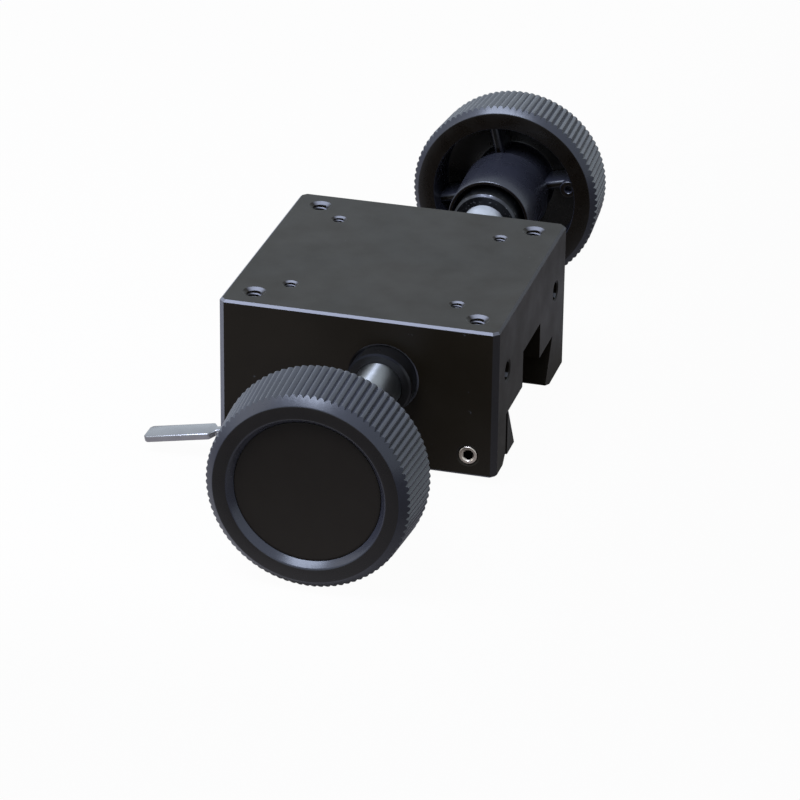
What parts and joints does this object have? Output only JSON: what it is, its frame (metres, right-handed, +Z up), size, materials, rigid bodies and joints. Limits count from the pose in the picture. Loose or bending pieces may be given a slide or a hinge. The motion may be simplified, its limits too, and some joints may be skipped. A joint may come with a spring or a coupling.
{
  "type": "rack and pinion carriage for a dovetail rail",
  "caption": "Black dovetail rail carriage driven by a cross pinion shaft with a ribbed knob at each end and clamped by a small lever",
  "frame": {"origin": "middle of the flat top face, the common centre of the M4 and M3 hole patterns", "axes": "+Z up, out of the top face; X along the rail; Y across the rail along the pinion shaft, with the clamp lever's side at -Y"},
  "size_m": [0.0749, 0.1718, 0.0432],
  "materials": {
    "black_anodised": "black anodised, fine satin",
    "gib_anodised": "black anodised, ground flank",
    "bush_black": "turned, black anodised",
    "set_screw_steel": "plain steel socket set screw",
    "black_oxide_screw": "black oxide",
    "sintered_bronze": "sintered bronze",
    "washer_steel": "spring steel washer",
    "ground_steel": "ground satin steel",
    "knob_plastic": "moulded black plastic, satin",
    "knob_disc_plastic": "matt black disc",
    "collar_black": "black oxide steel",
    "clamp_screw_steel": "turned stainless steel",
    "lever_stainless": "satin stainless steel",
    "pad_brass": "turned brass"
  },
  "bodies": {
    "carriage": {"carriage_block": "black_anodised", "gib_set_screws": "set_screw_steel", "bush_lock_screws": "black_oxide_screw", "front_bush": "bush_black", "rear_bush": "bush_black", "front_bush_liner": "sintered_bronze", "rear_bush_liner": "sintered_bronze", "thrust_washers": "washer_steel"},
    "pinion_drive": {"pinion_shaft": "ground_steel", "front_knob": "knob_plastic", "front_knob_collar": "collar_black", "front_knob_grub_screw": "black_oxide_screw", "front_knob_disc": "knob_disc_plastic", "rear_knob": "knob_plastic", "rear_knob_collar": "collar_black", "rear_knob_grub_screw": "black_oxide_screw", "rear_knob_disc": "knob_disc_plastic"},
    "clamp": {"clamp_screw": "clamp_screw_steel", "clamp_lever": "lever_stainless"},
    "gib": {"gib_bar": "gib_anodised", "clamp_pad": "pad_brass"}
  },
  "joints": [
    {"name": "pinion_turn", "type": "hinge", "parent": "carriage", "child": "pinion_drive", "pos_m": [0.0057, 0, -0.013], "axis": [0, 1, 0], "continuous": true},
    {"name": "clamp_turn", "type": "hinge", "parent": "carriage", "child": "clamp", "pos_m": [-0.024, -0.03, -0.0283], "axis": [0, 1, 0], "range_deg": [0, 80]},
    {"name": "gib_press", "type": "slide", "parent": "carriage", "child": "gib", "axis": [0, 1, 0], "range_m": [0, 0.0001555]}
  ],
  "couplings": [
    {"joint": "clamp_turn", "follows": "gib_press", "rad_per_m": 8976}
  ]
}
